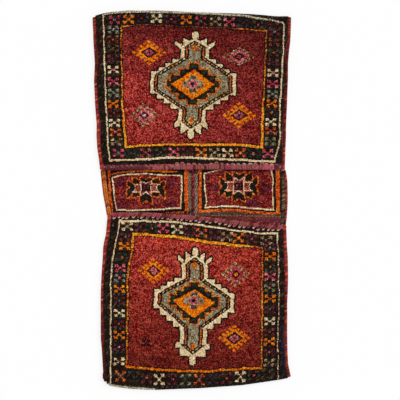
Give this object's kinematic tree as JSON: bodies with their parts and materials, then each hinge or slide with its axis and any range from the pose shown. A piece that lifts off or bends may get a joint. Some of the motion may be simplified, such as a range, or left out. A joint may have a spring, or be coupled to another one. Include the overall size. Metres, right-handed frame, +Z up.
{
  "type": "double saddlebag",
  "caption": "Double saddlebag of knotted wool pile: an upper and a lower bag joined by a woven bridge, with closing loops at each mouth and overcast sides.",
  "frame": {"origin": "centre of the bag's outline on the floor it lies on, faces up", "axes": "+X across the bag to the right, +Y along it from the lower bag to the upper bag, +Z up out of the piled faces"},
  "size_m": [0.5681, 1.0986, 0.0213],
  "materials": {
    "madder_pile": "knotted wool pile, mottled madder red with a drawn pattern",
    "red_weave": "flat-woven wool, matt",
    "mauve_weave": "flat-woven and twisted wool, matt",
    "red_overcast": "overcast wool stitches, red and black",
    "orange_braid": "herringbone braid of orange and red wool",
    "grey_weave": "flat-woven undyed wool",
    "plum_cord": "twisted plum wool cord",
    "dark_yarn": "loose dark goat-hair yarn"
  },
  "bodies": {
    "bridge": {"bridge_ground_cloth": "red_weave", "bridge_left_pile_panel": "madder_pile", "bridge_right_pile_panel": "madder_pile", "bridge_seam_cord": "plum_cord", "bridge_left_braid": "orange_braid", "bridge_right_braid": "grey_weave", "bridge_right_cord": "red_overcast", "bridge_thread_knot": "dark_yarn"},
    "upper_bag": {"upper_back_cloth": "red_weave", "upper_turned_edge": "madder_pile", "upper_left_binding": "red_overcast", "upper_right_binding": "red_overcast", "upper_corner_tuft": "dark_yarn"},
    "upper_front": {"upper_front_weave": "red_weave", "upper_front_pile": "madder_pile", "upper_mouth_hem": "mauve_weave", "upper_loop_chain": "mauve_weave"},
    "lower_bag": {"lower_back_cloth": "red_weave", "lower_turned_edge": "madder_pile", "lower_left_binding": "red_overcast", "lower_right_binding": "red_overcast", "lower_corner_tuft": "dark_yarn", "lower_binding_knot": "red_overcast"},
    "lower_front": {"lower_front_weave": "red_weave", "lower_front_pile": "madder_pile", "lower_mouth_hem": "mauve_weave", "lower_loop_chain": "mauve_weave"}
  },
  "joints": [
    {"name": "upper_bag_fold", "type": "hinge", "parent": "bridge", "child": "upper_bag", "pos_m": [0, 0.08784, 0.0015], "axis": [-1, 0, 0], "range_deg": [-25, 90]},
    {"name": "lower_bag_fold", "type": "hinge", "parent": "bridge", "child": "lower_bag", "pos_m": [0, -0.06446, 0.0015], "axis": [0.9981, -0.0614, 0], "range_deg": [-25, 90]},
    {"name": "upper_mouth_lift", "type": "hinge", "parent": "upper_bag", "child": "upper_front", "pos_m": [0, 0.53814, 0.01325], "axis": [-1, 0, 0], "range_deg": [0, 12]},
    {"name": "lower_mouth_lift", "type": "hinge", "parent": "lower_bag", "child": "lower_front", "pos_m": [0, -0.52324, 0.01325], "axis": [0.9982, 0.0596, 0], "range_deg": [0, 12]}
  ]
}
